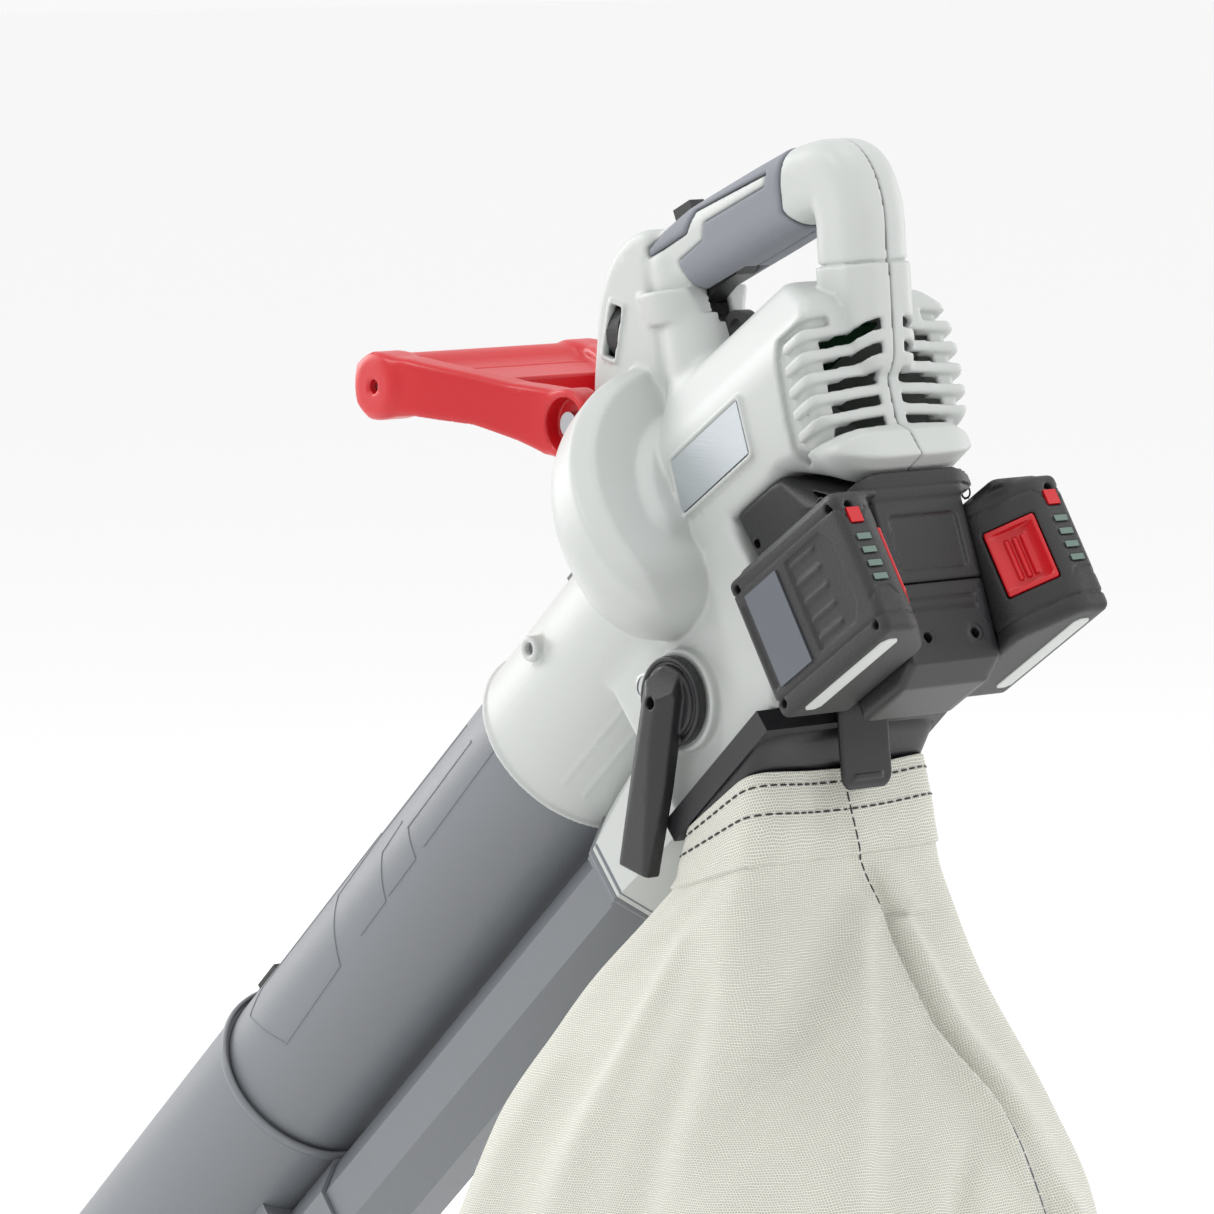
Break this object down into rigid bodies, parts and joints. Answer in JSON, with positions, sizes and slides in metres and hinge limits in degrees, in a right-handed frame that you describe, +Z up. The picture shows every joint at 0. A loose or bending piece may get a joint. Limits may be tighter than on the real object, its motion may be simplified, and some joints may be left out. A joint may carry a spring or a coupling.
{
  "type": "leaf vacuum mulcher",
  "caption": "Battery leaf blower, vacuum and mulcher held by a loop handle, with parallel suction and blow tubes, a flap lever, rear batteries and a hanging cloth bag.",
  "frame": {"origin": "middle of the rear hand grip, where the hand holds the machine", "axes": "+X to the rear, along the ground; -X towards the nozzle; +Z up; -Y is the side with the lever, on the user's left"},
  "size_m": [0.9788, 0.208, 0.8602],
  "materials": {
    "housing_white": "fine satin moulded texture",
    "tube_grey": "satin moulded tube",
    "grip_grey": "soft grip overmould",
    "black_plastic": "fine grain",
    "battery_black": "fine grain",
    "red_plastic": "satin",
    "lamp_green": "unlit lamp windows",
    "label_grey": "plain label",
    "badge_metal": "brushed plate",
    "steel": "turned steel",
    "zinc_screw": "zinc plated",
    "fan_plastic": "glass filled",
    "tyre_black": "wheel",
    "bag_fabric": "open plain weave",
    "board_green": "circuit board",
    "contact_brass": "spring contact"
  },
  "bodies": {
    "machine": {"housing_left": "housing_white", "housing_right": "housing_white", "blow_duct": "housing_white", "housing_screws": "zinc_screw", "badge": "badge_metal", "grip_left": "grip_grey", "grip_right": "grip_grey", "trigger_pin": "steel", "speed_sensor": "black_plastic", "trigger_switch": "black_plastic", "circuit_board": "board_green", "strap_eye": "black_plastic", "motor_mount": "black_plastic", "motor": "steel", "front_bearing": "steel", "rear_bearing": "steel", "lever_spring": "steel", "suction_tube_upper": "tube_grey", "suction_tube_lower": "tube_grey", "blow_tube_upper": "tube_grey", "blow_tube_lower": "tube_grey", "tube_link": "tube_grey", "tube_screws": "zinc_screw", "wheel_bracket": "black_plastic", "wheel_axle": "steel", "dock_base": "black_plastic", "dock_lower": "black_plastic", "dock_contacts": "contact_brass"},
    "trigger": {"trigger": "black_plastic"},
    "lock_button": {"lock_button": "black_plastic"},
    "speed_dial": {"speed_dial": "black_plastic"},
    "front_handle": {"front_handle": "red_plastic", "front_handle_bolt": "zinc_screw", "front_handle_knob": "black_plastic"},
    "fan_rotor": {"motor_shaft": "steel", "impeller": "fan_plastic", "mulching_blade": "steel", "fan_nut": "zinc_screw"},
    "mode_flap": {"mode_lever": "black_plastic", "flap_shaft": "steel", "flap": "fan_plastic"},
    "collar_clip": {"collar_clip": "tube_grey"},
    "joint_clip": {"joint_clip": "black_plastic"},
    "wheel_left": {"wheel_left": "tyre_black"},
    "wheel_right": {"wheel_right": "tyre_black"},
    "battery_left": {"battery_left": "battery_black", "charge_lamps_left": "lamp_green", "battery_label_left": "label_grey"},
    "battery_right": {"battery_right": "battery_black", "charge_lamps_right": "lamp_green", "battery_label_right": "label_grey"},
    "release_button_left": {"release_button_left": "red_plastic"},
    "release_button_right": {"release_button_right": "red_plastic"},
    "charge_key_left": {"charge_key_left": "red_plastic"},
    "charge_key_right": {"charge_key_right": "red_plastic"},
    "bag": {"bag_frame": "black_plastic", "bag": "bag_fabric", "latch_pin": "steel"},
    "bag_latch": {"bag_latch": "black_plastic"}
  },
  "joints": [
    {"name": "trigger_pull", "type": "hinge", "parent": "machine", "child": "trigger", "pos_m": [0.006, 0, -0.01], "axis": [0, 1, 0], "range_deg": [0, 8], "stiffness_Nm_per_rad": 0.6, "springref_deg": -5.73},
    {"name": "lock_press", "type": "slide", "parent": "machine", "child": "lock_button", "axis": [0.4223, 0, -0.9064], "range_m": [0, 0.004], "stiffness_N_per_m": 400, "springref_m": -0.002},
    {"name": "dial_turn", "type": "hinge", "parent": "machine", "child": "speed_dial", "pos_m": [-0.072, -0.004, -0.051], "axis": [1, 0, 0], "range_deg": [-135, 135]},
    {"name": "front_handle_tilt", "type": "hinge", "parent": "machine", "child": "front_handle", "pos_m": [-0.092, 0, -0.098], "axis": [0, 1, 0], "range_deg": [-45, 60]},
    {"name": "fan_spin", "type": "hinge", "parent": "machine", "child": "fan_rotor", "pos_m": [0, 0, -0.15], "axis": [0.7431, 0, 0.6691], "continuous": true},
    {"name": "mode_turn", "type": "hinge", "parent": "machine", "child": "mode_flap", "pos_m": [0.0189, 0, -0.2218], "axis": [0, 1, 0], "range_deg": [0, 60]},
    {"name": "collar_clip_pull", "type": "slide", "parent": "machine", "child": "collar_clip", "axis": [0.7431, 0, 0.6691], "range_m": [0, 0.006], "stiffness_N_per_m": 400, "springref_m": -0.002},
    {"name": "joint_clip_pull", "type": "slide", "parent": "machine", "child": "joint_clip", "axis": [0.7431, 0, 0.6691], "range_m": [0, 0.004], "stiffness_N_per_m": 400, "springref_m": -0.002},
    {"name": "wheel_left_spin", "type": "hinge", "parent": "machine", "child": "wheel_left", "pos_m": [-0.59063, -0.043, -0.78676], "axis": [0, 1, 0], "continuous": true},
    {"name": "wheel_right_spin", "type": "hinge", "parent": "machine", "child": "wheel_right", "pos_m": [-0.59063, 0.043, -0.78676], "axis": [0, 1, 0], "continuous": true},
    {"name": "battery_left_slide", "type": "slide", "parent": "machine", "child": "battery_left", "axis": [0.829, 0, 0.5592], "range_m": [0, 0.12]},
    {"name": "battery_right_slide", "type": "slide", "parent": "machine", "child": "battery_right", "axis": [0.829, 0, 0.5592], "range_m": [0, 0.12]},
    {"name": "release_left_press", "type": "slide", "parent": "battery_left", "child": "release_button_left", "axis": [-0.5547, -0.7431, -0.3742], "range_m": [0, 0.003], "stiffness_N_per_m": 500, "springref_m": -0.002},
    {"name": "release_right_press", "type": "slide", "parent": "battery_right", "child": "release_button_right", "axis": [-0.5547, 0.7431, -0.3742], "range_m": [0, 0.003], "stiffness_N_per_m": 500, "springref_m": -0.002},
    {"name": "charge_left_press", "type": "slide", "parent": "battery_left", "child": "charge_key_left", "axis": [-0.829, 0, -0.5592], "range_m": [0, 0.001], "stiffness_N_per_m": 300, "springref_m": -0.002},
    {"name": "charge_right_press", "type": "slide", "parent": "battery_right", "child": "charge_key_right", "axis": [-0.829, 0, -0.5592], "range_m": [0, 0.001], "stiffness_N_per_m": 300, "springref_m": -0.002},
    {"name": "bag_slide", "type": "slide", "parent": "machine", "child": "bag", "axis": [0.6691, 0, -0.7431], "range_m": [0, 0.15]},
    {"name": "latch_lift", "type": "hinge", "parent": "bag", "child": "bag_latch", "pos_m": [0.08839, 0, -0.21978], "axis": [0, 1, 0], "range_deg": [-40, 0], "stiffness_Nm_per_rad": 0.3, "springref_deg": 17.19}
  ]
}
